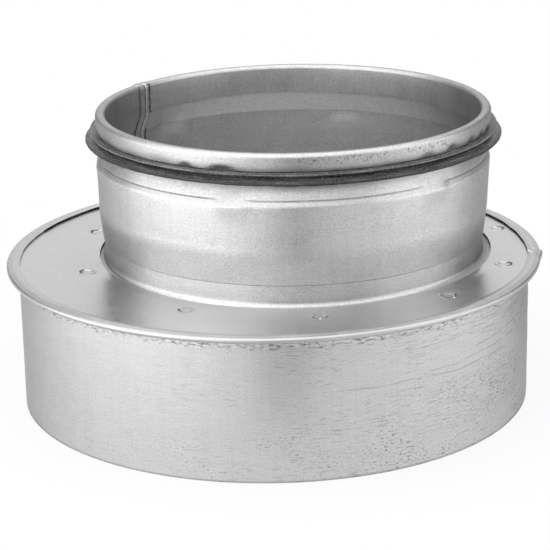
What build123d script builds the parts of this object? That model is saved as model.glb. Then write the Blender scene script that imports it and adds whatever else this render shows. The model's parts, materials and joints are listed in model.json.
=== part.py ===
from build123d import *
import math
import os

# Eccentric duct reducer of galvanised sheet, in millimetres.
# The collar stands on Z = 0 on the Z axis, and the spigot's axis is set off along +X.

# Steel gauge of all three pressings
sheet = 0.6

# Outer collar, the female end
collar_bore = 160.3          # inside diameter, slides over a 160 duct spigot
socket_depth = 44.4          # bottom edge to the underside of the end plate
collar_bend = 0.4            # radius under the hem where the wall turns outwards
hem_reach = 3.8              # fold of the hem beyond the collar's wall
hem_cover = 3.8              # fold of the hem back to its raw inner edge
collar_seam_angle = -40.0    # lengthwise weld, from +X
collar_seam_width = 4.0
collar_seam_rise = 0.15      # weld line above the wall
hem_lap_rise = 0.5           # extra layer round the hem where the band's ends meet

# End plate
plate_edge_gap = 0.3         # rim of the plate to the inside of the hem's fold
hole_gap = 2.3               # hole of the plate to the spigot's neck, all round

# Spigot, the male end
eccentricity = 8.6           # spigot axis from collar axis
spigot_diameter = 124.0      # body, slides into a 125 duct
spigot_height = 46.6         # top of the end plate to the top of the lip
neck_diameter = 120.4
neck_height = 6.8            # top of the end plate to the neck's crease
neck_taper = 8.2             # height over which the body draws in to the neck
flange_radius = 2.0          # bend from the neck to the flange, on the neck's side
flange_gap = 0.6             # rim of the flange to the collar's bore, where they are nearest
lip_diameter = 124.2         # folded lip, outside
lip_width = 3.1              # folded lip, across
lip_depth = 5.2              # top of the lip to its raw edge
groove_height = 4.9          # raw edge of the lip to the top of the shoulder
shoulder_height = 5.9        # flare from the gasket groove to the body
shoulder_round = 2.0
spigot_seam_angle = 110.0    # lock seam, from +X about the spigot's axis
spigot_seam_width = 5.0
spigot_seam_rise = 0.7       # folded layers above the inside of the wall

# Spot welds between the end plate and the flange, spaced by hand and not evenly
weld_angles = [15, 52, 89, 126, 162, 206, 240, 275, 306, 338]
weld_diameter = 4.6
weld_dent = 0.25             # depth of the electrode's mark
weld_edge = 2.7              # centre of a weld to the rim of the flange

# Gasket
gasket_diameter = 130.9      # over the wide lower lip
gasket_upper_diameter = 127.4
gasket_gap = 0.1             # rubber to the steel round it
lip_tip = 0.7                # thickness of each rubber lip at its edge
lip_root = 1.2               # thickness of each rubber lip at its root
lip_droop = 1.5              # fall of the lower lip from root to edge

# Levels and radii that follow from these
plate_under = socket_depth
plate_top = plate_under + sheet
collar_inner = collar_bore / 2
collar_outer = collar_inner + sheet
hem_bend = 1.5 * sheet
hem_centre = collar_outer + hem_reach - hem_bend
plate_radius = hem_centre - plate_edge_gap
neck_outer = neck_diameter / 2
hole_radius = neck_outer + hole_gap
flange_rim = collar_inner - eccentricity - flange_gap
weld_circle = flange_rim - weld_edge
lip_outer = lip_diameter / 2
lip_inner = lip_outer - lip_width
lip_bend = lip_width / 2
top = plate_top + spigot_height
lip_edge = top - lip_depth
shoulder_top = lip_edge - groove_height
shoulder_foot = shoulder_top - shoulder_height
body_inner = spigot_diameter / 2 - sheet
neck_inner = neck_outer - sheet
neck_crease = plate_top + neck_height
groove_floor = lip_inner + sheet
lip_mouth = lip_outer - sheet

os.makedirs("parts", exist_ok=True)


def layer(path, thickness, side):
    """Section in the XZ plane between a path and its offset to one side."""
    return Plane.XZ * make_face(offset(path, amount=thickness, side=side))


def strip(section, width, radius, angle):
    """Part of a ring, as wide as given at a radius, centred on an angle from +X."""
    arc = math.degrees(width / radius)
    return Rot(0, 0, angle - arc / 2) * revolve(section, Axis.Z, arc)


def weld_marks(level, facing):
    """Shallow round dents in a face at a level, seen from above (1) or below (-1)."""
    ball = ((weld_diameter / 2) ** 2 + weld_dent**2) / (2 * weld_dent)
    height = level + facing * (ball - weld_dent)
    return [Rot(0, 0, angle) * Pos(weld_circle, 0, height) * Sphere(ball) for angle in weld_angles]


def outer_collar():
    wall_top = plate_under - sheet
    wall = FilletPolyline(
        (collar_outer, 0), (collar_outer, wall_top), (hem_centre, wall_top), radius=collar_bend
    )
    fold = JernArc(wall @ 1, (1, 0), hem_bend, 180)
    cover = Line(fold @ 1, (collar_outer + hem_reach - hem_cover, plate_top + sheet))
    band = revolve(layer(wall + fold + cover, sheet, Side.LEFT))

    weld_line = Line((collar_outer, 0), (collar_outer, wall_top - collar_bend))
    weld = layer(weld_line, collar_seam_rise, Side.RIGHT)
    lap = layer(fold, hem_lap_rise, Side.RIGHT)
    for seam in (weld, lap):
        band += strip(seam, collar_seam_width, collar_outer, collar_seam_angle)
    return band


def end_plate():
    disc = Pos(0, 0, plate_under) * extrude(Circle(plate_radius), sheet)
    hole = Pos(eccentricity, 0, plate_under) * extrude(Circle(hole_radius), sheet)
    marks = [Pos(eccentricity, 0, 0) * mark for mark in weld_marks(plate_top, 1)]
    return disc - hole - marks


def spigot():
    # The path follows the face of the sheet that is outside on the lip and inside on the wall.
    lip = Line((lip_outer, lip_edge), (lip_outer, top - lip_bend))
    rise = JernArc(lip @ 1, (0, 1), lip_bend, 90)
    fall = JernArc(rise @ 1, (-1, 0), lip_bend, 90)
    shoulder = FilletPolyline(
        fall @ 1,
        (lip_inner, shoulder_top),
        (body_inner, shoulder_foot),
        (body_inner, neck_crease + neck_taper),
        radius=shoulder_round,
    )
    taper = TangentArc(shoulder @ 1, (neck_inner, neck_crease), tangent=(0, -1))
    flange = FilletPolyline(
        taper @ 1,
        (neck_inner, plate_under - sheet),
        (flange_rim, plate_under - sheet),
        radius=flange_radius + sheet,
    )
    sleeve = revolve(layer(lip + rise + fall + shoulder + taper + flange, sheet, Side.LEFT))

    seam_end = Line(taper @ 1, (neck_inner, plate_under + flange_radius))
    seam = layer(fall + shoulder + taper + seam_end, spigot_seam_rise, Side.RIGHT)
    sleeve += strip(seam, spigot_seam_width, lip_inner, spigot_seam_angle)
    sleeve -= weld_marks(plate_under - sheet, -1)
    return Pos(eccentricity, 0, 0) * sleeve


def gasket():
    inner = groove_floor + gasket_gap
    base_outer = lip_mouth - gasket_gap
    base_top = top - lip_bend
    upper_tip = gasket_upper_diameter / 2
    lower_tip = gasket_diameter / 2
    upper_level = lip_edge - gasket_gap
    valley = upper_level - lip_root
    foot = valley - lip_root
    outline = Polyline(
        (inner, base_top),
        (base_outer, base_top),
        (base_outer, upper_level),
        (upper_tip, upper_level),
        (upper_tip, upper_level - lip_tip),
        (base_outer, valley),
        (lower_tip, valley - lip_droop),
        (lower_tip, valley - lip_droop - lip_tip),
        (base_outer, foot),
        (inner, foot),
        close=True,
    )
    return Pos(eccentricity, 0, 0) * revolve(Plane.XZ * make_face(outline))


for piece in (outer_collar, end_plate, spigot, gasket):
    export_step(piece(), f"parts/{piece.__name__}.step")
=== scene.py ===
import json
import math

import bmesh
import bpy
from mathutils import Matrix, Vector, noise


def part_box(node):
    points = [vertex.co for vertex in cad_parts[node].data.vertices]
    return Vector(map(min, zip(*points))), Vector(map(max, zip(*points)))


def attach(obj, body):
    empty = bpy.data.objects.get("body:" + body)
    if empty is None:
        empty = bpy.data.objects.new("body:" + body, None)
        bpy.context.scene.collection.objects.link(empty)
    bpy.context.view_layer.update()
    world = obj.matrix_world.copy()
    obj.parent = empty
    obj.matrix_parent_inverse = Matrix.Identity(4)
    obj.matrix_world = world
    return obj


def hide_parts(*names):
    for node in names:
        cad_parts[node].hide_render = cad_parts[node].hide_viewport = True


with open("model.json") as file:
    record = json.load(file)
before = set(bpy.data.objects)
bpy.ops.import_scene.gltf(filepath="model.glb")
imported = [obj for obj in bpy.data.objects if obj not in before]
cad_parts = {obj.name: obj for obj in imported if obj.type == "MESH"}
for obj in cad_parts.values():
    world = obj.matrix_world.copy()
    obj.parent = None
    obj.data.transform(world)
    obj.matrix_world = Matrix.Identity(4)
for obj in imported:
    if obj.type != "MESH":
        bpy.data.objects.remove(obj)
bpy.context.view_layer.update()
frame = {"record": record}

mm = 0.001
fullTurn = 2 * math.pi
mergeGap = 0.003 * mm

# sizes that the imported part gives
mounts = {mount["name"]: mount for mount in frame["record"]["mounts"]}
collarBore = mounts["collar_bore"]["dims"]["r_mm"] * mm
axisShift = mounts["spigot_end"]["pos_m"][0]        # spigot's axis along X
spigotTop = mounts["spigot_end"]["pos_m"][2]
plateLow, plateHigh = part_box("end_plate")
sheet = plateHigh.z - plateLow.z                    # gauge of all three pressings
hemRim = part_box("outer_collar")[1].y
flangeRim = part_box("spigot")[1].y
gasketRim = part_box("gasket")[1].y
spigotAxis = Vector((axisShift, 0, 0))

# camera of the photo: x to its right, y away from it, from the collar's axis
photoView = {
    "turn": 35.52,          # degrees from the part's X to the photo's right
    "aside": 0.353 * mm,
    "back": 633.746 * mm,
    "height": 241.443 * mm,
    "pitch": 17.869,
    "roll": -1.167,
    "lens": 136.19,
    "sensor": 36.0,
}


def fromPhoto(right, away, up):     # a place seen from the photo's side
    return Matrix.Rotation(-math.radians(photoView["turn"]), 3, "Z") @ Vector((right, away, up))


def photoAngle(degrees):            # an angle read in the photo, as radians from the part's X
    return math.radians(degrees - photoView["turn"])


def addCamera(view):
    lens = bpy.data.cameras.new("photoCamera")
    lens.lens = view["lens"]
    lens.sensor_width = view["sensor"]
    lens.clip_start = 0.01
    cameraObject = bpy.data.objects.new("photoCamera", lens)
    bpy.context.scene.collection.objects.link(cameraObject)
    place = Matrix.Translation(fromPhoto(view["aside"], -view["back"], view["height"]))
    turn = Matrix.Rotation(-math.radians(view["turn"]), 4, "Z")
    tilt = Matrix.Rotation(math.radians(90 - view["pitch"]), 4, "X")
    roll = Matrix.Rotation(math.radians(view["roll"]), 4, "Z")
    cameraObject.matrix_world = place @ turn @ tilt @ roll
    bpy.context.scene.camera = cameraObject


addCamera(photoView)
bpy.context.scene.view_settings.view_transform = "Standard"
print("camera at the photo's angle")


# sections are drawn with a pen in the XZ plane, radius along X, then spun about Z
def penDown(bm, radius, level):
    return bmesh.ops.create_vert(bm, co=(radius, 0, level))["vert"][0]


def runTo(bm, pen, radius, level, parts=1):
    step = (Vector((radius, 0, level)) - pen.co) / parts
    for _ in range(parts):
        pen = bmesh.ops.extrude_vert_indiv(bm, verts=[pen])["verts"][0]
        bmesh.ops.translate(bm, verts=[pen], vec=step)
    return pen


def bendAbout(bm, pen, radius, level, degrees, parts):     # plus turns clockwise, up to outwards
    arc = bmesh.ops.spin(bm, geom=[pen], cent=(radius, 0, level), axis=(0, 1, 0),
                         angle=math.radians(degrees), steps=parts)
    return [item for item in arc["geom_last"] if isinstance(item, bmesh.types.BMVert)][0]


def roundCorner(bm, pen, corner, onward, bend, straight, curved):   # run to a corner and round it
    corner = Vector((corner[0], 0, corner[1]))
    onward = Vector((onward[0], 0, onward[1]))
    coming = (corner - pen.co).normalized()
    going = (onward - corner).normalized()
    turn = coming.angle(going)
    side = 1 if coming.cross(going).y > 0 else -1
    start = corner - coming * bend * math.tan(turn / 2)
    pen = runTo(bm, pen, start.x, start.z, straight)
    centre = start + Vector((0, side * bend, 0)).cross(coming)
    return bendAbout(bm, pen, centre.x, centre.z, side * math.degrees(turn), curved)


def spinRound(bm, steps, fineFrom=0.0, fineSpan=0.0, fineSteps=0):   # a whole turn, finer over one stretch
    section = bm.verts[:] + bm.edges[:]
    about = {"cent": (0, 0, 0), "axis": (0, 0, 1)}
    if fineSteps:
        bmesh.ops.rotate(bm, verts=bm.verts[:], cent=(0, 0, 0), matrix=Matrix.Rotation(fineFrom, 3, "Z"))
        fine = bmesh.ops.spin(bm, geom=section, angle=fineSpan, steps=fineSteps, **about)
        bmesh.ops.spin(bm, geom=fine["geom_last"], angle=fullTurn - fineSpan, steps=steps, **about)
    else:
        bmesh.ops.spin(bm, geom=section, angle=fullTurn, steps=steps, use_merge=True, **about)
    bmesh.ops.remove_doubles(bm, verts=bm.verts[:], dist=mergeGap)
    bmesh.ops.recalc_face_normals(bm, faces=bm.faces[:])


def smoothStep(value, low, high):
    share = min(max((value - low) / (high - low), 0), 1)
    return share * share * (3 - 2 * share)


def bump(distance, width):
    return math.exp(-(distance / width) ** 2)


def turnBetween(angle, other):      # signed, in radians
    return (angle - other + math.pi) % fullTurn - math.pi


def polar(point):
    return math.atan2(point.y, point.x), math.hypot(point.x, point.y)


def ripple(angle, level, across, up, seed):     # slow waves round a ring, from -1 to 1
    return noise.noise(Vector((math.cos(angle) * across, math.sin(angle) * across, level * up + seed)))


def pushRadius(vertex, angle, amount):
    vertex.co.x += math.cos(angle) * amount
    vertex.co.y += math.sin(angle) * amount


def makePiece(bm, name, finishes):
    mesh = bpy.data.meshes.new(name)
    bm.to_mesh(mesh)
    bm.free()
    piece = bpy.data.objects.new(name, mesh)
    bpy.context.scene.collection.objects.link(piece)
    for finish in finishes:
        mesh.materials.append(finish)
    return piece


def thicken(piece, thickness):      # both faces of the sheet, with the second finish on its cut edges
    wall = piece.modifiers.new("gauge", "SOLIDIFY")
    wall.thickness = thickness
    wall.offset = 0
    wall.use_even_offset = True
    wall.material_offset_rim = 1
    bpy.context.view_layer.update()
    shown = piece.evaluated_get(bpy.context.evaluated_depsgraph_get())
    solid = bpy.data.meshes.new_from_object(shown)
    thin = piece.data
    piece.modifiers.clear()
    piece.data = solid
    bpy.data.meshes.remove(thin)
    solid.name = piece.name


def smoothOver(piece, sharpAngle=22):
    piece.data.shade_smooth()
    piece.data.set_sharp_from_angle(angle=math.radians(sharpAngle))


def seat(piece, slotName, *nodes):
    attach(piece, "root")
    if nodes:
        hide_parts(*nodes)
    print(piece.name, sum(len(face.vertices) - 2 for face in piece.data.polygons), "triangles")


# node helpers for the finishes
def newFinish(name):
    material = bpy.data.materials.new(name)
    material.use_nodes = True
    return material, material.node_tree, material.node_tree.nodes["Principled BSDF"]


def addNode(tree, kind, **settings):
    node = tree.nodes.new(kind)
    for name, value in settings.items():
        setattr(node, name, value)
    return node


def feed(tree, socket, value):
    if isinstance(value, bpy.types.NodeSocket):
        tree.links.new(value, socket)
    else:
        socket.default_value = value


def calc(tree, operation, *values):
    node = addNode(tree, "ShaderNodeMath", operation=operation)
    for socket, value in zip(node.inputs, values):
        feed(tree, socket, value)
    return node.outputs[0]


def product(tree, first, *others):
    for other in others:
        first = calc(tree, "MULTIPLY", first, other)
    return first


def ramp(tree, value, low, high, start=0.0, end=1.0):      # smooth step from start to end
    node = addNode(tree, "ShaderNodeMapRange", interpolation_type="SMOOTHSTEP")
    for name, given in (("Value", value), ("From Min", low), ("From Max", high),
                        ("To Min", start), ("To Max", end)):
        feed(tree, node.inputs[name], given)
    return node.outputs[0]


def cloud(tree, vector, stretch, detail=2.0, roughness=0.5):    # noise, with repeats per metre on each axis
    mapping = addNode(tree, "ShaderNodeMapping")
    feed(tree, mapping.inputs["Vector"], vector)
    mapping.inputs["Scale"].default_value = stretch
    node = addNode(tree, "ShaderNodeTexNoise")
    feed(tree, node.inputs["Vector"], mapping.outputs[0])
    node.inputs["Scale"].default_value = 1.0
    node.inputs["Detail"].default_value = detail
    node.inputs["Roughness"].default_value = roughness
    return node.outputs["Fac"]


def unroll(tree, axis, cutAngle, radius):   # the band laid flat: along it, up it, and from the axis
    place = addNode(tree, "ShaderNodeTexCoord").outputs["Object"]
    turned = addNode(tree, "ShaderNodeMapping", vector_type="TEXTURE")
    feed(tree, turned.inputs["Vector"], place)
    turned.inputs["Location"].default_value = axis
    turned.inputs["Rotation"].default_value = (0, 0, cutAngle - math.pi)
    parts = addNode(tree, "ShaderNodeSeparateXYZ")
    feed(tree, parts.inputs[0], turned.outputs[0])
    x, y, z = parts.outputs
    along = calc(tree, "MULTIPLY", calc(tree, "ARCTAN2", y, x), radius)
    out = calc(tree, "SQRT", calc(tree, "ADD", product(tree, x, x), product(tree, y, y)))
    flat = addNode(tree, "ShaderNodeCombineXYZ")
    for socket, value in zip(flat.inputs, (along, z, out)):
        feed(tree, socket, value)
    return flat.outputs[0], along, z, out


def greyed(tree, colour, factor):       # a plain colour, darker or lighter by a factor
    node = addNode(tree, "ShaderNodeVectorMath", operation="SCALE")
    node.inputs[0].default_value = colour
    feed(tree, node.inputs["Scale"], factor)
    return node.outputs[0]


def relief(tree, height, distance, strength):
    node = addNode(tree, "ShaderNodeBump")
    node.inputs["Strength"].default_value = strength
    node.inputs["Distance"].default_value = distance
    feed(tree, node.inputs["Height"], height)
    return node.outputs[0]


def within(tree, value, low, high, soft):       # 1 between two levels, with soft ends
    return product(tree, ramp(tree, value, low, low + soft), ramp(tree, value, high, high - soft))


# galvanised sheet, the same zinc on all pressings, worn in different ways
zinc = {
    "colour": (0.535, 0.535, 0.535),
    "relief": 0.02 * mm,
    # patterns, as repeats per metre along the band, up it and outwards
    "grain": (2600, 2600, 2600),        # sandy crystals
    "rolled": (160, 3000, 2000),        # rolling lines along the band
    "drawn": (700, 35, 60),             # faint streaks across the band
    "mottle": (150, 220, 200),
    "scuffs": (230, 2000, 0),
    "scuffPatches": (60, 90, 0),
    "specks": (800, 1800, 0),
    "speckCrowds": (50, 60, 0),
    "rubEdge": (240, 0, 0),
    "rubPatches": (130, 300, 0),
    "scratchWander": (45, 0, 0),
    "scratchBreaks": (120, 500, 0),
}


def steelFinish(name, axis, cutAngle, radius, wear):
    material, tree, shader = newFinish(name)
    flat, along, up, out = unroll(tree, axis, cutAngle, radius)
    grain = cloud(tree, flat, zinc["grain"], 2.0, 0.6)
    rolled = cloud(tree, flat, zinc["rolled"], 2.0, 0.6)
    drawn = cloud(tree, flat, zinc["drawn"], 2.0, 0.5)
    mottle = cloud(tree, flat, zinc["mottle"], 3.0, 0.55)
    tone = wear["tone"]
    shade = ramp(tree, grain, 0.25, 0.75, tone * (1 - wear["grain"]), tone * (1 + wear["grain"]))
    for pattern, amount in ((rolled, "rolled"), (drawn, "drawn"), (mottle, "mottle")):
        shade = product(tree, shade, ramp(tree, pattern, 0.3, 0.7, 1 - wear[amount], 1 + wear[amount]))

    # short dark scuffs along the band, in patches
    if wear["scuffs"]:
        worn = ramp(tree, along, *wear["wornSpan"])
        scuffs = ramp(tree, cloud(tree, flat, zinc["scuffs"], 2.0, 0.55), 0.54, 0.68)
        patches = ramp(tree, cloud(tree, flat, zinc["scuffPatches"], 2.0, 0.5), 0.36, 0.60, 0.25, 1.0)
        scuffs = product(tree, scuffs, patches, worn)
        shade = product(tree, shade, ramp(tree, scuffs, 0, 1, 1, 1 - wear["scuffs"]))

    # dark specks, crowding together low on the band
    if wear["specks"]:
        specks = cloud(tree, flat, zinc["specks"], 1.5, 0.5)
        crowd = cloud(tree, flat, zinc["speckCrowds"], 2.0, 0.6)
        crowd = calc(tree, "ADD", crowd, ramp(tree, up, *wear["speckSpan"]))
        specks = product(tree, ramp(tree, specks, 0.57, 0.68), ramp(tree, crowd, 0.45, 0.8), worn)
        shade = product(tree, shade, ramp(tree, specks, 0, 1, 1, 1 - wear["specks"]))

    # bands rubbed by tools: low and high level, first and last place along the band, grain, dark and bright
    for low, high, start, end, stretch, dark, bright in wear["rubs"]:
        edge = cloud(tree, flat, zinc["rubEdge"], 2.0, 0.6)
        level = calc(tree, "ADD", up, ramp(tree, edge, 0.3, 0.7, -0.7 * mm, 0.7 * mm))
        inBand = within(tree, level, low, high, 0.5 * mm)
        inBand = product(tree, inBand, within(tree, along, start, end, 6 * mm))
        marks = cloud(tree, flat, stretch, 2.0, 0.6)
        darker = ramp(tree, marks, 0.50, 0.62, 0, -dark)
        marks = calc(tree, "ADD", darker, ramp(tree, marks, 0.46, 0.34, 0, bright))
        patchy = ramp(tree, cloud(tree, flat, zinc["rubPatches"], 2.0, 0.6), 0.34, 0.58, 0.3, 1.0)
        shade = product(tree, shade, calc(tree, "MULTIPLY_ADD", product(tree, inBand, patchy), marks, 1.0))

    # darker stretches of the outer face, one of them painted shade: levels, how far from the axis, shade
    for low, high, beyond, darkFactor in wear["darkenedAndShaded"]:
        onFace = within(tree, up, low, high, 0.8 * mm)
        onFace = product(tree, onFace, ramp(tree, out, beyond, beyond + 0.4 * mm))
        shade = product(tree, shade, ramp(tree, onFace, 0, 1, 1, darkFactor))

    # long thin scratches: start and end along the band, their levels, width, depth
    for start, end, startLevel, endLevel, width, depth in wear["scratches"]:
        share = calc(tree, "DIVIDE", calc(tree, "SUBTRACT", along, start), end - start)
        line = calc(tree, "MULTIPLY_ADD", share, endLevel - startLevel, startLevel)
        wander = ramp(tree, cloud(tree, flat, zinc["scratchWander"], 2.0, 0.5), 0.3, 0.7, -0.6 * mm, 0.6 * mm)
        off = calc(tree, "ABSOLUTE", calc(tree, "SUBTRACT", calc(tree, "ADD", up, wander), line))
        broken = ramp(tree, cloud(tree, flat, zinc["scratchBreaks"], 2.0, 0.5), 0.3, 0.6, 0.25, 1.0)
        mark = product(tree, ramp(tree, off, 0, width, 1, 0), within(tree, share, 0.0, 1.0, 0.1), broken)
        shade = product(tree, shade, ramp(tree, mark, 0, 1, 1, 1 - depth))

    feed(tree, shader.inputs["Base Color"], greyed(tree, zinc["colour"], shade))
    rough = wear["roughness"]
    uneven = wear["mottle"]
    feed(tree, shader.inputs["Roughness"], ramp(tree, mottle, 0.25, 0.75, rough - uneven, rough + uneven))
    feed(tree, shader.inputs["Normal"], relief(tree, grain, zinc["relief"], wear["relief"]))
    shader.inputs["Metallic"].default_value = 1.0
    shader.inputs["Specular Tint"].default_value = wear["edgeTint"]
    return material


def cutEdgeFinish(name, grey):      # bare steel with no zinc left on it; the cut-edge copy is also laid on as painted shade
    material, tree, shader = newFinish(name)
    place = addNode(tree, "ShaderNodeTexCoord").outputs["Object"]
    streak = cloud(tree, place, (900, 900, 900), 2.0, 0.6)
    shade = ramp(tree, streak, 0.3, 0.7, 0.3, 1.2)
    feed(tree, shader.inputs["Base Color"], greyed(tree, (grey, grey, grey), shade))
    shader.inputs["Metallic"].default_value = 0.8
    shader.inputs["Roughness"].default_value = 0.6
    return material


rubber = {
    "colour": (0.045, 0.045, 0.046),
    "roughness": 0.42,
    "gloss": 0.35,
    "paintedShadeSpan": (83.2 * mm, 84.1 * mm, 0.12, 1.0),      # painted shade: darker towards the lower edge, which faces down and out
    "sheenLineLevel": 85.75 * mm,    # light line along the upper lip's edge: worn, dusty rubber and partly a painted highlight where the edge catches the light
    "sheenLineWidth": 0.4 * mm,
    "relief": 0.05 * mm,
    "dust": (1700, 1700, 1700),
    "streaks": (90, 1900, 1900),
    "wornSheenPatches": (70, 0, 0),
}


def rubberFinish():
    material, tree, shader = newFinish("sealRubber")
    flat, _, up, _ = unroll(tree, spigotAxis, 0.0, gasketRim)
    dust = cloud(tree, flat, rubber["dust"], 2.0, 0.65)
    streaks = cloud(tree, flat, rubber["streaks"], 2.0, 0.6)
    shade = ramp(tree, dust, 0.38, 0.72, 0.35, 2.7)
    shade = calc(tree, "ADD", shade, ramp(tree, streaks, 0.42, 0.72, 0.0, 1.5))
    off = calc(tree, "ABSOLUTE", calc(tree, "SUBTRACT", up, rubber["sheenLineLevel"]))
    # painted shade towards the gasket's lower edge
    shade = product(tree, shade, ramp(tree, up, *rubber["paintedShadeSpan"]))
    # light line along the upper lip's edge: worn rubber and partly a painted highlight
    worn = product(tree, ramp(tree, off, 0.0, rubber["sheenLineWidth"], 3.0, 0.0),
                   ramp(tree, cloud(tree, flat, rubber["wornSheenPatches"], 2.0, 0.6), 0.35, 0.65, 0.3, 1.0))
    feed(tree, shader.inputs["Base Color"], greyed(tree, rubber["colour"], calc(tree, "ADD", shade, worn)))
    feed(tree, shader.inputs["Normal"], relief(tree, dust, rubber["relief"], 0.6))
    shader.inputs["Roughness"].default_value = rubber["roughness"]
    shader.inputs["Specular IOR Level"].default_value = rubber["gloss"]
    return material


collarCut = photoAngle(-4.5)        # where the band's ends meet
spigotCut = photoAngle(145.6)


def alongCollar(degrees):           # place along the collar's band, from an angle read in the photo
    return turnBetween(photoAngle(degrees), collarCut + math.pi) * collarBore


def alongSpigot(degrees):
    return turnBetween(photoAngle(degrees), spigotCut + math.pi) * spigot["lipRadius"]


# outer collar: wall, outward bend, fold and cover of the hem
collar = {
    "steps": 620,
    "bend": 0.7 * mm,           # middle of the sheet, under the hem
    "rawEdge": 80.5 * mm,       # hem's cut edge, from the axis
    "hemLift": 0.09 * mm,       # cut edge stands off the plate
    "hemCrown": 0.42 * mm,      # cover is slightly rounded
    "edgeWander": 0.22 * mm,
    "wallWave": 0.06 * mm,
    "seamSpan": 18 * mm,        # stretch with a finer mesh round the seam
    "seamSteps": 110,
    "lapRise": 0.6 * mm,        # the band's outer end lies over the inner one in the hem
    "lapFade": 8.0 * mm,
    "lapGap": 0.75 * mm,        # where the lap lifts off the plate
    "lapGapAt": 2.6 * mm,       # from the band's end
    "lapGapWidth": 1.1 * mm,
    "creaseAt": 1.3 * mm,
    "creaseWidth": 1.5 * mm,
    "crumpleUp": 0.45 * mm,
    "crumpleOut": 0.3 * mm,
    "agapeMiddle": 77.5,        # the cut edge stands open round this angle of the photo
    "agapeHalf": (84, 81),      # degrees to either side, where it starts and where it is complete
    "weldRise": 0.15 * mm,
}
collarWear = {
    "tone": 1.06, "grain": 0.15, "rolled": 0.03, "drawn": 0.015, "mottle": 0.012,
    "scuffs": 0.30, "specks": 0.55,
    "wornSpan": (alongCollar(-125), alongCollar(-62), 0.45, 1.0),       # cleaner at the photo's left
    "roughness": 0.42, "relief": 0.5, "edgeTint": (0.45, 0.45, 0.45, 1),
    "speckSpan": (36 * mm, 2 * mm, -0.08, 0.16),
    "rubs": (
        (40.8 * mm, 43.5 * mm, alongCollar(-170), alongCollar(-20), (560, 1500, 0), 0.6, 0.3),
        (34.0 * mm, 42.0 * mm, alongCollar(-66), alongCollar(-15), (70, 2600, 0), 0.25, 0.08),
        (8.0 * mm, 24.0 * mm, alongCollar(-56), alongCollar(-20), (700, 1800, 0), 0.26, 0.05),
    ),
    "darkenedAndShaded": ((-2.0 * mm, 1.0 * mm, 79.0 * mm, 0.70),),      # painted shade: a dark line along the bottom edge, standing in for the floor's contact shadow
    "scratches": (
        (alongCollar(-79), alongCollar(-29), 27.3 * mm, 26.6 * mm, 0.28 * mm, 0.4),
        (alongCollar(-58), alongCollar(-25), 28.6 * mm, 29.8 * mm, 0.26 * mm, 0.4),
        (alongCollar(-44), alongCollar(-21), 31.6 * mm, 33.6 * mm, 0.26 * mm, 0.45),
        (alongCollar(-70), alongCollar(-36), 24.6 * mm, 23.4 * mm, 0.22 * mm, 0.2),
    ),
}


def hemLap(size, angle, radius, level):     # how the lapped seam shows in the hem: up, out
    off = turnBetween(angle, collarCut) * hemRim
    over = smoothStep(off, 0.35 * mm, -0.15 * mm) * smoothStep(off, -size["lapFade"], -0.6 * mm)
    crease = bump(off + size["creaseAt"], size["creaseWidth"])
    crumple = crease * ripple(angle, radius, 90, 500, 2.4)
    outer = smoothStep(radius, hemRim - 3.4 * mm, hemRim - 0.3 * mm)
    inner = smoothStep(radius, size["rawEdge"] + 1.6 * mm, size["rawEdge"])
    raised = smoothStep(level, plateLow.z, plateHigh.z)
    rise = raised * (0.75 * size["lapRise"] * over + size["crumpleUp"] * crumple)
    rise += raised * inner * size["lapGap"] * bump(off + size["lapGapAt"], size["lapGapWidth"])
    push = outer * (size["lapRise"] * over + size["crumpleOut"] * crumple)
    push += raised * inner * 0.5 * mm * bump(off + 1.0 * mm, 0.8 * mm)
    return rise, push


def hemAgape(angle):        # 1 where the hem's cut edge stands open, 0 where it is pressed down
    off = abs(turnBetween(angle, photoAngle(collar["agapeMiddle"])))
    standing = smoothStep(off, *map(math.radians, collar["agapeHalf"]))
    return max(standing, bump(turnBetween(angle, collarCut) * hemRim + 2.4 * mm, 1.3 * mm))


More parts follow.
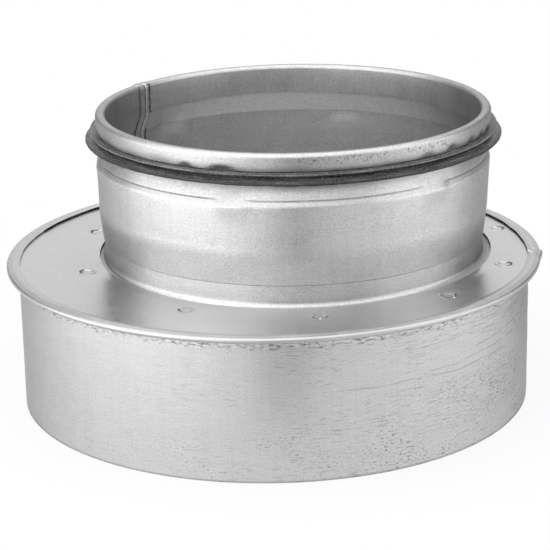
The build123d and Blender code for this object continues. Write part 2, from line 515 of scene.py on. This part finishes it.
def buildCollar(size):
    bm = bmesh.new()
    middle = collarBore + sheet / 2
    foldBend = sheet
    foldCentre = hemRim - foldBend - sheet / 2
    low = plateLow.z - sheet / 2
    high = plateHigh.z + sheet / 2
    pen = penDown(bm, middle, 0)
    pen = runTo(bm, pen, middle, low - size["bend"], 20)
    pen = bendAbout(bm, pen, middle + size["bend"], low - size["bend"], 90, 5)
    pen = runTo(bm, pen, foldCentre, low, 2)
    pen = bendAbout(bm, pen, foldCentre, (low + high) / 2, -180, 12)
    runTo(bm, pen, size["rawEdge"], high, 7)
    span = size["seamSpan"] / hemRim
    spinRound(bm, size["steps"], collarCut - 0.7 * span, span, size["seamSteps"])
    for vertex in bm.verts:
        angle, radius = polar(vertex.co)
        level = vertex.co.z
        if level > low - 0.1 * mm:
            cover = smoothStep(level, plateLow.z, plateHigh.z)
            toEdge = smoothStep(radius, foldCentre, size["rawEdge"]) * cover
            lift = hemAgape(angle) * size["hemLift"] * (1 + 0.9 * ripple(angle, 0, 7, 0, 3.1))
            crown = math.sin(math.pi * min(max((foldCentre - radius) / (foldCentre - size["rawEdge"]), 0), 1))
            rise, push = hemLap(size, angle, radius, level)
            vertex.co.z += toEdge * lift + cover * crown * size["hemCrown"] + rise
            pushRadius(vertex, angle, toEdge * size["edgeWander"] * ripple(angle, 0, 11, 0, 8.4) + push)
        elif level < low - 2 * size["bend"]:
            wave = ripple(angle, level, 2.2, 25, 1.7) + 0.35 * ripple(angle, level, 9, 60, 5.2)
            off = turnBetween(angle, collarCut) * collarBore
            bead = size["weldRise"] * bump(off, 1.5 * mm) * (1 + 0.6 * ripple(angle, level, 30, 700, 4.4))
            pushRadius(vertex, angle, size["wallWave"] * wave * smoothStep(level, low, low - 12 * mm) + bead)
    piece = makePiece(bm, "collarBand", (collarSteel, cutEdgeAndShade, hemSteel))
    thicken(piece, sheet)
    for face in piece.data.polygons:        # the hem was burnished as it was folded; its cut edge keeps the dark cut-edge finish only where it stands open, partly bare steel and partly painted shade of the gap under it
        pressed = face.material_index == 0 or hemAgape(polar(face.center)[0]) < 0.5
        if face.center.z > low and pressed:
            face.material_index = 2
    smoothOver(piece)
    seat(piece, "galvanised_steel", "outer_collar")


# end plate: flat ring with spot welds
plate = {
    "segments": 560,
    "rings": 28,
    "hole": 62.5 * mm,
    "holeLift": 0.22 * mm,      # edge of the hole springs up between the welds
    "weldAngles": (161.3, 198, 241.3, 275, 310.9, 341.3, 13.6, 50.5, 87.4, 124.4),     # as read in the photo
    "weldCircle": 68.4 * mm,
    "weldSize": 2.3 * mm,       # radius of a mark
    "weldFine": 4.6 * mm,       # finer mesh this far from a weld
    "weldDent": 0.26 * mm,
    "weldSlope": 1.5 * mm,      # width of the dent's slope
    "weldUneven": 0.22,
    "weldRim": 0.16 * mm,
    "rimWidth": 0.38 * mm,
    "burr": 0.34 * mm,          # spatter at the outer end of a weld
    "burrOut": 0.3 * mm,        # beyond the mark
    "burrWidth": 0.38 * mm,
    "pit": 0.25 * mm,           # beside the spatter
    "pitWidth": 0.35 * mm,
    "scorchWidth": 0.28 * mm,   # half of the dark crescent
    "scorchDot": 0.45 * mm,
    "pillow": 0.36 * mm,        # slow dip of the sheet round a weld
    "pillowSize": 7.0 * mm,
    "deepest": 0.9 * sheet,     # the sheet stays above the flange below it
    "wave": 0.10 * mm,
}
plateWear = {
    "tone": 1.0, "grain": 0.06, "rolled": 0.01, "drawn": 0.01, "mottle": 0.03, "scuffs": 0, "specks": 0,
    "roughness": 0.30, "relief": 0.15, "edgeTint": (1, 1, 1, 1),
    "rubs": (),
    "darkenedAndShaded": (),
    "scratches": (),
}
hemWear = dict(plateWear, tone=0.93, roughness=0.38)


def weldPlaces(size):       # centre of each weld and the way outwards there
    for angle in size["weldAngles"]:
        turn = photoAngle(angle)
        outward = Vector((math.cos(turn), math.sin(turn), 0))
        yield spigotAxis + size["weldCircle"] * outward, outward


def weldRelief(size, number, offset, outward):
    gap = offset.length
    if gap > 3 * size["pillowSize"]:
        return 0.0
    height = -size["pillow"] * bump(gap, size["pillowSize"])
    if gap < size["weldFine"]:
        uneven = 1 + size["weldUneven"] * noise.noise(Vector((number * 7.3, offset.x * 600, offset.y * 600)))
        edge = size["weldSize"] * uneven
        height -= size["weldDent"] * smoothStep(gap, edge, edge - size["weldSlope"])
        height += size["weldRim"] * bump(gap - edge - 0.1 * mm, size["rimWidth"])
        aside = 0.35 * mm * math.sin(number * 2.1)
        nub = outward * (size["weldSize"] + size["burrOut"]) + outward.cross(Vector((0, 0, 1))) * aside
        height += size["burr"] * bump((offset - nub).length, size["burrWidth"])
        height -= size["pit"] * bump((offset - nub * 0.72).length, size["pitWidth"])
    return height


def scorched(size, offset, outward):        # dark crescent and dot on the outer side of a weld
    along, aside = offset.dot(outward), offset.cross(outward).length
    fromRim = abs(offset.length - size["weldSize"])
    rim = fromRim < size["scorchWidth"] and along > 0.3 * size["weldSize"]
    return rim or math.hypot(along - 0.8 * size["weldSize"], aside) < size["scorchDot"]


def buildPlate(size):
    bm = bmesh.new()
    bmesh.ops.create_circle(bm, segments=size["segments"], radius=plateHigh.y)
    outer = bm.edges[:]
    bmesh.ops.create_circle(bm, segments=size["segments"], radius=size["hole"])
    inner = [edge for edge in bm.edges if edge not in set(outer)]
    bmesh.ops.translate(bm, verts=list({v for edge in inner for v in edge.verts}), vec=spigotAxis)
    bridge = bmesh.ops.bridge_loops(bm, edges=outer + inner)
    bmesh.ops.subdivide_edges(bm, edges=bridge["edges"], cuts=size["rings"] - 1, use_grid_fill=True)
    welds = list(weldPlaces(size))
    near = {v for v in bm.verts if min((v.co - weld).length for weld, _ in welds) < size["weldFine"]}
    fine = [edge for edge in bm.edges if edge.verts[0] in near and edge.verts[1] in near]
    bmesh.ops.subdivide_edges(bm, edges=fine, cuts=4, use_grid_fill=True)
    bmesh.ops.recalc_face_normals(bm, faces=bm.faces[:])
    for vertex in bm.verts:
        angle, radius = polar(vertex.co)
        inside = smoothStep(radius, collar["rawEdge"] + 0.5 * mm, collar["rawEdge"] - 7 * mm)
        height = size["wave"] * ripple(angle, radius, 2.6, 40, 2.3)
        fromHole = (vertex.co - spigotAxis).length - size["hole"]
        height += size["holeLift"] * smoothStep(fromHole, 3.2 * mm, 0)
        for number, (weld, outward) in enumerate(welds):
            height += weldRelief(size, number, vertex.co - weld, outward)
        vertex.co.z = inside * max(height, -size["deepest"])
    for face in bm.faces:
        centre = face.calc_center_median()
        weld, outward = min(welds, key=lambda place: (centre - place[0]).length)
        face.material_index = 2 if scorched(size, centre - weld, outward) else 0
    bmesh.ops.translate(bm, verts=bm.verts[:], vec=(0, 0, (plateLow.z + plateHigh.z) / 2))
    piece = makePiece(bm, "endPlate", (plateSteel, cutEdgeAndShade, scorch))
    thicken(piece, sheet)
    smoothOver(piece, 40)
    seat(piece, "galvanised_steel", "end_plate")


# spigot: folded lip, gasket groove, flared shoulder, body, drawn-in neck and flange
spigot = {
    "steps": 520,
    "lipRadius": 62.1 * mm,         # outside of the lip
    "lipWidth": 3.1 * mm,
    "lipBend": 1.0 * mm,            # middle of the sheet, at both corners of the fold
    "lipEdge": 86.4 * mm,           # its cut edge
    "shoulderTop": 82.0 * mm,
    "shoulderFoot": 75.6 * mm,
    "topRound": 5.0 * mm,           # soft where it leaves the groove, firmer at its foot
    "footRound": 2.4 * mm,
    "bodyRadius": 62.0 * mm,
    "bodyDraw": 0.4 * mm,           # body narrows a little towards the neck
    "taperTop": 60.0 * mm,
    "taperMiddle": 61.0 * mm,
    "taperRound": 30.0 * mm,
    "neckRadius": 60.2 * mm,
    "neckCrease": 51.8 * mm,
    "creaseStep": 0.42 * mm,        # taper ends in a small step there
    "flangeBend": 2.3 * mm,         # middle of the sheet
    "lean": 0.45 * mm,              # lower end sits this far to the photo's left
    "jawMark": 0.26 * mm,           # line that the forming jaws left on the shoulder
    "jawLevel": 77.4 * mm,
    "jawLine": 0.12 * mm,           # width of the line
    "jawPress": 0.35,               # share of its depth that stays below it
    "jawReach": 1.9 * mm,
    "jawGap": -107.8,               # one gap between the jaws, as read in the photo
    "jaws": 6,
    "jawGapWidth": 4.5,             # degrees
    "jawBulge": 0.36 * mm,
    "bodyWave": 0.10 * mm,
    # dents of the lip's edge: angle in the photo, width, depth, height
    "lipDents": (
        (-121.3, 1.7 * mm, 0.45 * mm, 1.3 * mm), (-110.4, 3.2 * mm, 0.55 * mm, 1.5 * mm),
        (-50.6, 2.2 * mm, 0.30 * mm, 2.4 * mm), (-40.6, 2.3 * mm, 0.45 * mm, 2.7 * mm),
        (-30.2, 2.3 * mm, 0.48 * mm, 2.8 * mm), (-23.0, 2.0 * mm, 0.42 * mm, 2.7 * mm),
        (-16.5, 2.0 * mm, 0.36 * mm, 2.6 * mm),
    ),
    "lipCurl": 0.22 * mm,           # lower edge of the lip bends in
}
spigotWear = {
    "tone": 1.0, "grain": 0.18, "rolled": 0.025, "drawn": 0.02, "mottle": 0.018, "scuffs": 0.10, "specks": 0,
    "wornSpan": (alongSpigot(-120), alongSpigot(-60), 0.5, 1.0),
    "roughness": 0.40, "relief": 0.45, "edgeTint": (0.45, 0.45, 0.45, 1),
    "rubs": (
        (88.6 * mm, 90.6 * mm, alongSpigot(-92), alongSpigot(-40), (1000, 900, 0), 0.55, 0.1),
        (77.6 * mm, 81.0 * mm, alongSpigot(-178), alongSpigot(-5), (300, 1500, 0), 0.12, 0.05),
    ),
    "darkenedAndShaded": ((85.6 * mm, 91.0 * mm, 61.0 * mm, 0.77),),
    "scratches": (),
}


def jawMarkShare(size, angle):      # 1 under a jaw, 0 in the gaps between them
    pitch = fullTurn / size["jaws"]
    off = (turnBetween(angle, photoAngle(size["jawGap"])) + pitch / 2) % pitch - pitch / 2
    gap = math.radians(size["jawGapWidth"])
    return smoothStep(abs(off), gap * 0.5, gap * 1.5)


def lipPush(size, angle, level):    # inward push of the lip's outer leg
    push = 0.0
    for where, width, depth, tall in size["lipDents"]:
        off = turnBetween(angle, photoAngle(where)) * size["lipRadius"]
        reach = tall * math.sqrt(max(0, 1 - (off / (1.35 * width)) ** 2))
        inReach = smoothStep(level, size["lipEdge"] + reach + 0.4 * mm, size["lipEdge"])
        push += depth * bump(off, width) * inReach
    low = smoothStep(level, size["lipEdge"] + 3.0 * mm, size["lipEdge"] + 0.4 * mm)
    push += size["lipCurl"] * smoothStep(level, size["lipEdge"] + 2.4 * mm, size["lipEdge"] - 0.6 * mm)
    return push + 0.14 * mm * low * ripple(angle, 0, 6, 0, 9.9)


def spigotSection(bm, size):        # drawn from the lip's cut edge to the flange's rim
    half = sheet / 2
    lip = size["lipRadius"] - half
    throat = size["lipRadius"] - size["lipWidth"] + half
    crown = spigotTop - half
    body = size["bodyRadius"] - half
    bodyFoot = body - size["bodyDraw"]
    neck = size["neckRadius"] - half
    flange = plateLow.z - half
    foot = (body, size["shoulderFoot"])
    pen = penDown(bm, lip, size["lipEdge"])
    pen = roundCorner(bm, pen, (lip, crown), (throat, crown), size["lipBend"], 8, 7)
    pen = roundCorner(bm, pen, (throat, crown), (throat, size["shoulderTop"]), size["lipBend"], 2, 7)
    pen = roundCorner(bm, pen, (throat, size["shoulderTop"]), foot, size["topRound"], 2, 8)
    slope = (foot[0] - throat) / (size["shoulderTop"] - size["shoulderFoot"])
    for level, parts in ((size["jawLevel"] + 0.2 * mm, 5), (size["jawLevel"] - 0.2 * mm, 4)):
        pen = runTo(bm, pen, throat + (size["shoulderTop"] - level) * slope, level, parts)
    pen = roundCorner(bm, pen, foot, (bodyFoot, size["taperTop"]), size["footRound"], 5, 5)
    pen = runTo(bm, pen, bodyFoot, size["taperTop"] + 3 * mm, 6)
    crease = (neck + size["creaseStep"], size["neckCrease"])
    pen = roundCorner(bm, pen, (bodyFoot, size["taperMiddle"]), crease, size["taperRound"], 2, 8)
    pen = runTo(bm, pen, *crease, 4)
    pen = runTo(bm, pen, neck, size["neckCrease"] - 0.3 * mm, 2)
    pen = roundCorner(bm, pen, (neck, flange), (flangeRim, flange), size["flangeBend"], 4, 8)
    runTo(bm, pen, flangeRim, flange, 2)


def leanOver(bm, size):     # the rolled sleeve doesn't stand quite square on the plate
    aside = fromPhoto(-1, 0, 0)
    for vertex in bm.verts:
        share = smoothStep(vertex.co.z, spigotTop, size["neckCrease"])
        share *= smoothStep(vertex.co.z, plateLow.z, plateHigh.z)
        vertex.co += aside * size["lean"] * share


def buildSpigot(size):
    bm = bmesh.new()
    spigotSection(bm, size)
    spinRound(bm, size["steps"])
    lipInside = size["lipRadius"] - 0.35 * size["lipWidth"]
    for vertex in bm.verts:
        angle, radius = polar(vertex.co)
        level = vertex.co.z
        if level > size["lipEdge"] - 0.01 * mm and radius > lipInside:
            pushRadius(vertex, angle, -lipPush(size, angle, level))
            if level < size["lipEdge"] + 0.1 * mm:
                vertex.co.z += 0.12 * mm * ripple(angle, 0, 14, 0, 6.6)
        elif size["neckCrease"] < level < size["shoulderTop"]:
            onBody = smoothStep(level, size["neckCrease"], size["taperTop"])
            wave = ripple(angle, level, 2.0, 22, 7.7) + 0.3 * ripple(angle, level, 8, 50, 3.9)
            bulge = (1 - jawMarkShare(size, angle)) * bump(level - size["jawLevel"] + 2.0 * mm, 2.4 * mm)
            pushRadius(vertex, angle, size["bodyWave"] * wave * onBody + size["jawBulge"] * bulge)
    leanOver(bm, size)
    bmesh.ops.translate(bm, verts=bm.verts[:], vec=spigotAxis)
    piece = makePiece(bm, "spigotSleeve", (spigotSteel, cutEdgeAndShade))
    thicken(piece, sheet)
    markJaws(piece, size)
    smoothOver(piece)
    seat(piece, "galvanised_steel", "spigot")


def markJaws(piece, size):      # only the outer face of the sheet took the jaws' edge
    solid = bmesh.new()
    solid.from_mesh(piece.data)
    for vertex in solid.verts:
        angle, radius = polar(vertex.co - spigotAxis)
        below = size["jawLevel"] - vertex.co.z
        slope = (size["shoulderTop"] - vertex.co.z) / (size["shoulderTop"] - size["shoulderFoot"])
        middle = size["lipRadius"] - size["lipWidth"] + sheet / 2 + slope * (size["lipWidth"] - sheet)
        if -0.3 * mm < below < 2.2 * mm and radius > min(middle, size["bodyRadius"] - sheet / 2 - 0.1 * mm):
            groove = bump(below, size["jawLine"])
            groove += size["jawPress"] * smoothStep(below, 0, 0.1 * mm) * smoothStep(below, size["jawReach"], 0)
            pushRadius(vertex, angle, -size["jawMark"] * groove * jawMarkShare(size, angle))
    solid.to_mesh(piece.data)
    solid.free()


# lock seam: folded layers down the inside of the spigot
seam = {
    "start": 141.9,             # right and left edge, as read in the photo
    "end": 148.2,
    "steps": 54,
    "flush": 0.04 * mm,         # above the wall beside the fold
    "rise": 0.36 * mm,          # flat layer above the wall
    "edge": 1.55 * mm,          # folded edge of the layer, from the right
    "wander": 0.8 * mm,
    "ridge": 0.08 * mm,         # folded edge, rolled over on top of the layer
    "ridgeWidth": 0.55 * mm,
    "gap": 1.15 * mm,           # width of the painted shade on the wall beside the folded edge, where the gap lies in shade
    "groove": 0.3 * mm,
    "grooveAt": 3.4 * mm,
    "grooveWidth": 0.26 * mm,
    "thickness": 0.3 * mm,
}


def seamShape(size, across, level, width):      # height above the wall, and if the face is painted dark: painted shade in the gap and the groove, and a dark line along the strip's left edge
    stray = size["wander"] * noise.noise(Vector((3.3, 1.2, level * 330)))
    fromEdge = across - size["edge"] - stray
    fromGroove = across - size["grooveAt"] - 0.4 * stray
    lumps = 1 + 0.8 * noise.noise(Vector((8.1, 5.7, level * 420)))
    height = size["rise"] * smoothStep(fromEdge, -0.1 * mm, 0.25 * mm)
    height += size["ridge"] * lumps * bump(fromEdge - 0.6 * mm, size["ridgeWidth"])
    height *= smoothStep(across, width, width - 0.3 * mm)
    height *= smoothStep(level, spigotTop + 2 * mm, spigotTop - 2 * mm)
    height = max(height - size["groove"] * bump(fromGroove, size["grooveWidth"]), 0)
    inShadedGap = -size["gap"] < fromEdge < 0.05 * mm or abs(fromGroove) < 1.2 * size["grooveWidth"]
    return size["flush"] + height, level < spigotTop - 0.3 * mm and (inShadedGap or across > width - 0.4 * mm)


def buildSeam(size):
    bm = bmesh.new()
    throat = spigot["lipRadius"] - spigot["lipWidth"]
    inner = spigot["bodyRadius"] - sheet
    innerFoot = inner - spigot["bodyDraw"]
    neckInner = spigot["neckRadius"] - sheet
    waist = (throat, spigot["shoulderTop"])
    foot = (inner, spigot["shoulderFoot"])
    crease = (neckInner + spigot["creaseStep"], spigot["neckCrease"])
    pen = penDown(bm, throat + spigot["lipWidth"] * 0.75, spigotTop)
    pen = roundCorner(bm, pen, (throat, spigotTop), waist, spigot["lipBend"] + sheet / 2, 3, 7)
    pen = roundCorner(bm, pen, waist, foot, spigot["topRound"], 22, 10)
    pen = roundCorner(bm, pen, foot, (innerFoot, spigot["taperTop"]), spigot["footRound"], 14, 4)
    pen = roundCorner(bm, pen, (innerFoot, spigot["taperMiddle"]), crease, spigot["taperRound"], 16, 8)
    pen = runTo(bm, pen, *crease, 4)
    pen = runTo(bm, pen, neckInner, spigot["neckCrease"] - 0.3 * mm)
    runTo(bm, pen, neckInner, plateHigh.z + 1.5 * mm, 6)
    first, last = photoAngle(size["start"]), photoAngle(size["end"])
    width = (last - first) * throat
    bmesh.ops.rotate(bm, verts=bm.verts[:], cent=(0, 0, 0), matrix=Matrix.Rotation(first, 3, "Z"))
    bmesh.ops.spin(bm, geom=bm.verts[:] + bm.edges[:], cent=(0, 0, 0), axis=(0, 0, 1),
                   angle=last - first, steps=size["steps"])
    bmesh.ops.remove_doubles(bm, verts=bm.verts[:], dist=mergeGap)
    bmesh.ops.recalc_face_normals(bm, faces=bm.faces[:])
    bm.normal_update()
    # the dark faces take the cut-edge finish: painted shade in the seam's gap and groove
    for face in bm.faces:
        centre = face.calc_center_median()
        across = turnBetween(polar(centre)[0], first) * throat
        face.material_index = int(seamShape(size, across, centre.z, width)[1])
    for vertex in bm.verts:
        across = turnBetween(polar(vertex.co)[0], first) * throat
        height = seamShape(size, across, vertex.co.z, width)[0]
        inward = vertex.normal.dot(Vector((vertex.co.x, vertex.co.y, -1e-3))) < 0
        vertex.co += vertex.normal * (height - size["thickness"] / 2) * (1 if inward else -1)
    leanOver(bm, spigot)
    bmesh.ops.translate(bm, verts=bm.verts[:], vec=spigotAxis)
    piece = makePiece(bm, "lockSeam", (spigotSteel, cutEdgeAndShade))
    thicken(piece, size["thickness"])
    smoothOver(piece, 35)
    seat(piece, "galvanised_steel")


# gasket: base under the lip, short upper lip and wide drooping lower lip
gasket = {
    "steps": 480,
    "clearance": 0.1 * mm,
    "upperRim": 63.9 * mm,
    "upperTop": 86.2 * mm,
    "tipThickness": 0.6 * mm,
    "rootThickness": 1.2 * mm,
    "droop": 1.5 * mm,
    "tipRound": 0.22 * mm,
    "wave": 0.14 * mm,
}


def buildGasket(size):
    bm = bmesh.new()
    inner = spigot["lipRadius"] - spigot["lipWidth"] + sheet + size["clearance"]
    root = spigot["lipRadius"] - sheet - size["clearance"]
    top = spigotTop - spigot["lipWidth"] / 2
    tip, thick = size["tipThickness"], size["rootThickness"]
    valley = size["upperTop"] - thick
    lowTop = valley - size["droop"]
    corners = [
        (root, top), (root, size["upperTop"]), (size["upperRim"], size["upperTop"]),
        (size["upperRim"], size["upperTop"] - tip), (root, valley), (gasketRim, lowTop),
        (gasketRim, lowTop - tip), (root, valley - thick), (inner, valley - thick), (inner, top),
    ]
    start = ((corners[-1][0] + corners[0][0]) / 2, top)
    pen = penDown(bm, *start)
    for corner, onward in zip(corners, corners[1:] + [start]):
        pen = roundCorner(bm, pen, corner, onward, size["tipRound"], 3, 4)
    runTo(bm, pen, *start)
    bmesh.ops.remove_doubles(bm, verts=bm.verts[:], dist=0.002 * mm)
    spinRound(bm, size["steps"])
    for vertex in bm.verts:
        angle, radius = polar(vertex.co)
        out = smoothStep(radius, root, gasketRim)
        waves = ripple(angle, 0, 5, 0, 2.2) + 0.5 * ripple(angle, 0, 17, 0, 7.1)
        waves += 0.5 * ripple(angle, 0, 34, 0, 3.6)
        vertex.co.z += out * size["wave"] * waves
        nicks = abs(ripple(angle, 0, 7, 0, 5.5)) + abs(ripple(angle, 0, 31, 0, 8.8))
        pushRadius(vertex, angle, -out * size["wave"] * nicks)
    bmesh.ops.translate(bm, verts=bm.verts[:], vec=spigotAxis)
    piece = makePiece(bm, "lipGasket", (sealRubber,))
    smoothOver(piece, 50)
    seat(piece, "seal_rubber", "gasket")


collarSteel = steelFinish("collarSteel", Vector(), collarCut, collarBore, collarWear)
plateSteel = steelFinish("plateSteel", Vector(), collarCut, collarBore, plateWear)
hemSteel = steelFinish("hemSteel", Vector(), collarCut, collarBore, hemWear)
spigotSteel = steelFinish("spigotSteel", spigotAxis, spigotCut, spigot["lipRadius"], spigotWear)
# the cut-edge finish also serves as painted shade in the lock seam and along the hem's open cut edge
cutEdgeAndShade = cutEdgeFinish("cutEdgeAndShade", 0.14)
scorch = cutEdgeFinish("weldScorch", 0.20)
sealRubber = rubberFinish()
print("finishes ready")
buildCollar(collar)
buildPlate(plate)
buildSpigot(spigot)
buildSeam(seam)
buildGasket(gasket)

# floor and light
stage = {
    "floorSize": 12.0,
    "floorColour": (0.66, 0.66, 0.66, 1),
    "whiteShare": 0.85,     # how white the floor shows near the part
    "insideShare": 0.35,    # and less of that inside the collar
    "whiteFrom": 0.22,      # distance at which it is all white
    "world": 0.33,
    # stretches of the floor that show less white in the metal: degrees to the right of the camera,
    # half width, distance where it starts and where it is complete, whiteness
    "dullStretches": ((3, 14, 0.11, 0.17, 0.22), (112, 26, 0.09, 0.14, 0.68)),
}
# soft boxes: name, degrees to the right of the camera, distance, width, height, lift, radiance
softBoxes = (
    ("leftBox", -58, 0.43, 0.78, 0.60, 0.305, 1.5),
    ("leftStrip", -62, 0.30, 0.40, 0.10, 0.052, 1.45),
    ("rightBox", 71, 0.55, 0.56, 0.50, 0.29, 1.35),
    ("rightStrip", 76, 0.30, 0.26, 0.06, 0.032, 0.95),
    ("rearBox", 180, 1.30, 1.30, 0.90, 0.52, 0.70),
    ("frontBox", 8, 1.10, 1.25, 0.80, 0.70, 1.15),
)
topBox = ("topBox", 1.15, 2.1, 1.5)      # name, height, width, radiance


def addFloor(look):
    bm = bmesh.new()
    bmesh.ops.create_grid(bm, x_segments=1, y_segments=1, size=look["floorSize"] / 2)
    material, tree, shader = newFinish("paleFloor")
    tree.nodes.remove(shader)
    matt = addNode(tree, "ShaderNodeBsdfDiffuse")
    matt.inputs["Color"].default_value = look["floorColour"]
    white = addNode(tree, "ShaderNodeEmission")
    path = addNode(tree, "ShaderNodeLightPath")
    glossy = path.outputs["Is Glossy Ray"]
    seen = calc(tree, "MAXIMUM", path.outputs["Is Camera Ray"], glossy)
    seen = calc(tree, "MAXIMUM", seen, path.outputs["Is Transmission Ray"])
    _, toRight, _, distance = unroll(tree, Vector(), photoAngle(90), 1.0)
    strength = 1.0
    for degrees, halfWidth, start, end, whiteness in look["dullStretches"]:
        low, high = math.radians(degrees - halfWidth), math.radians(degrees + halfWidth)
        inside = within(tree, toRight, low, high, math.radians(halfWidth))
        inside = product(tree, glossy, inside, ramp(tree, distance, start, end))
        strength = product(tree, ramp(tree, inside, 0, 1, 1, whiteness), strength)
    feed(tree, white.inputs["Strength"], strength)
    clear = ramp(tree, distance, collarBore - 2 * mm, collarBore, look["insideShare"], 1.0)
    share = ramp(tree, distance, collarBore, look["whiteFrom"], look["whiteShare"], 1.0)
    mix = addNode(tree, "ShaderNodeMixShader")
    feed(tree, mix.inputs[0], product(tree, seen, clear, share))
    feed(tree, mix.inputs[1], matt.outputs[0])
    feed(tree, mix.inputs[2], white.outputs[0])
    feed(tree, tree.nodes["Material Output"].inputs["Surface"], mix.outputs[0])
    makePiece(bm, "paleFloor", (material,))


def addBox(name, place, target, width, height, radiance):
    lamp = bpy.data.lights.new(name, "AREA")
    lamp.shape = "RECTANGLE"
    lamp.size = width
    lamp.size_y = height
    lamp.energy = radiance * math.pi * width * height
    lampObject = bpy.data.objects.new(name, lamp)
    bpy.context.scene.collection.objects.link(lampObject)
    lampObject.location = place
    lampObject.rotation_euler = (place - target).to_track_quat("Z", "Y").to_euler()
    lampObject.visible_camera = False


def addLight():
    world = bpy.data.worlds.new("studio")
    world.use_nodes = True
    world.node_tree.nodes["Background"].inputs["Color"].default_value = (1, 1, 1, 1)
    world.node_tree.nodes["Background"].inputs["Strength"].default_value = stage["world"]
    bpy.context.scene.world = world
    for name, degrees, distance, width, height, lift, radiance in softBoxes:
        turn = math.radians(degrees)
        place = fromPhoto(math.sin(turn) * distance, -math.cos(turn) * distance, lift)
        addBox(name, place, Vector((0, 0, lift)), width, height, radiance)
    name, height, width, radiance = topBox
    addBox(name, Vector((0, 0, height)), Vector((0, 0, 0)), width, width, radiance)


addFloor(stage)
addLight()
print("stage and light ready")
